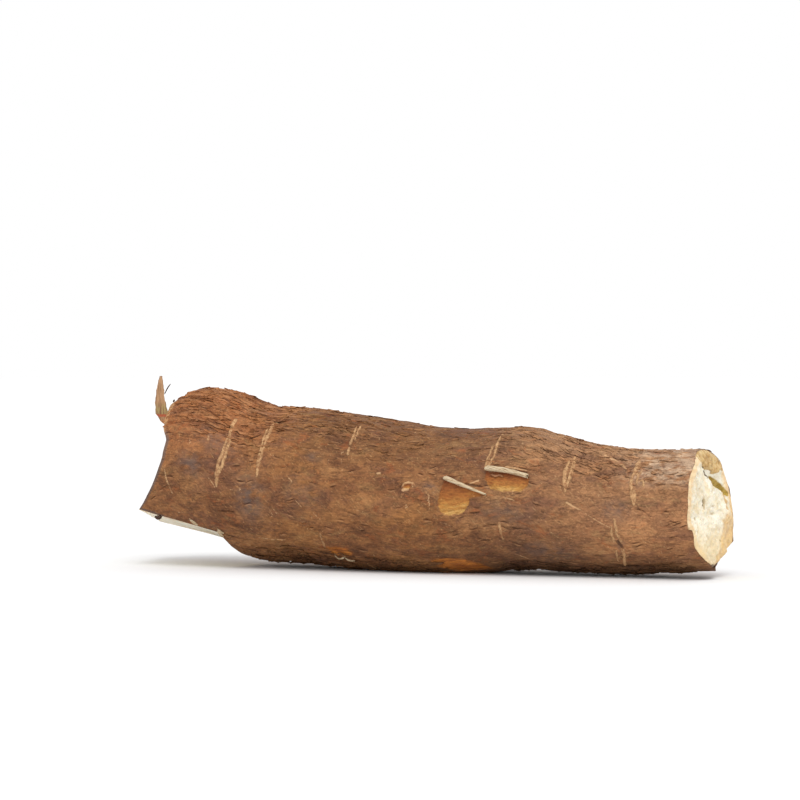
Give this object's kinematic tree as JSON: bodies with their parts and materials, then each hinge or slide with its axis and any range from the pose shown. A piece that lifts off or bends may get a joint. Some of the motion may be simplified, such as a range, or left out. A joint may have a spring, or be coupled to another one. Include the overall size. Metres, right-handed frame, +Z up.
{
  "type": "cassava root",
  "caption": "Rough brown cassava root, lying on its belly, with a hacked neck end, a snapped tip end, corky scars and peeling bark.",
  "frame": {"origin": "on the surface that the root lies on, under the middle of its bounding box", "axes": "+X along the root towards its snapped, thinner end; -X towards its hacked, thicker neck end; +Z up; -Y the side with the two peeled rolls of skin"},
  "size_m": [0.2889, 0.0753, 0.0888],
  "materials": {
    "bark": "matt, cracked",
    "flesh": "matt, moist"
  },
  "bodies": {
    "root": {"cassava_root": "bark"}
  },
  "joints": []
}
